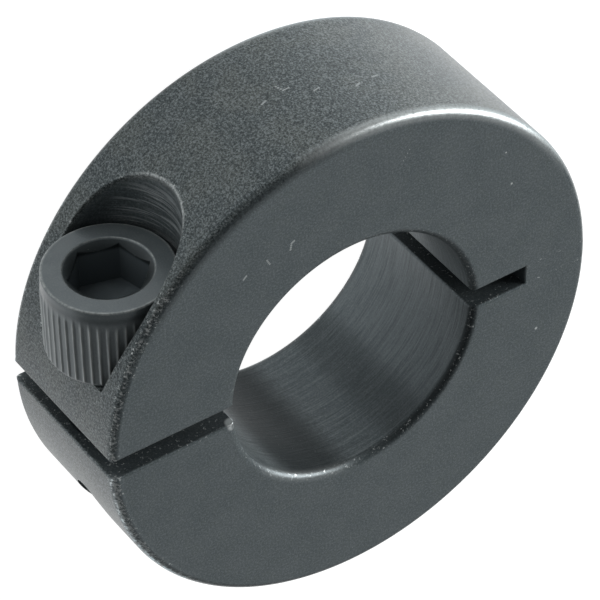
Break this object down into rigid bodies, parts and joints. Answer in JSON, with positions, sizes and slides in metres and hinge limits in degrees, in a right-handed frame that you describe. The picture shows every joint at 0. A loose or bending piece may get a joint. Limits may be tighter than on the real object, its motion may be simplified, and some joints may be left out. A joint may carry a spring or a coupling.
{
  "type": "shaft collar",
  "caption": "One-piece clamping shaft collar: a split steel ring with a relief slot and a recessed socket-head clamp screw.",
  "frame": {"origin": "centre of the bore, half way through the collar's width", "axes": "+Z along the bore axis towards the front face, +Y along the clamp screw towards its head, so the split is at -X and the relief slot at +X"},
  "size_m": [0.0386, 0.038, 0.0122],
  "materials": {
    "collar_steel": "black oxide over a tumbled surface, edges rubbed bright",
    "screw_steel": "black oxide with a light oil film"
  },
  "bodies": {
    "lower_jaw": {"lower_jaw": "collar_steel", "flexure_web": "collar_steel"},
    "upper_jaw": {"upper_jaw": "collar_steel"},
    "clamp_screw": {"clamp_screw": "screw_steel"}
  },
  "joints": [
    {"name": "jaw_flex", "type": "hinge", "parent": "lower_jaw", "child": "upper_jaw", "pos_m": [0.01648, 0, 0], "axis": [0, 0, 1], "range_deg": [0, 0.35], "deforming": ["flexure_web"]},
    {"name": "screw_turn", "type": "hinge", "parent": "upper_jaw", "child": "clamp_screw", "pos_m": [-0.0151, 0.0052, 0.00055], "axis": [0, -1, 0], "range_deg": [0, 76]}
  ],
  "couplings": [
    {"joint": "jaw_flex", "follows": "screw_turn", "ratio": 0.0046}
  ]
}
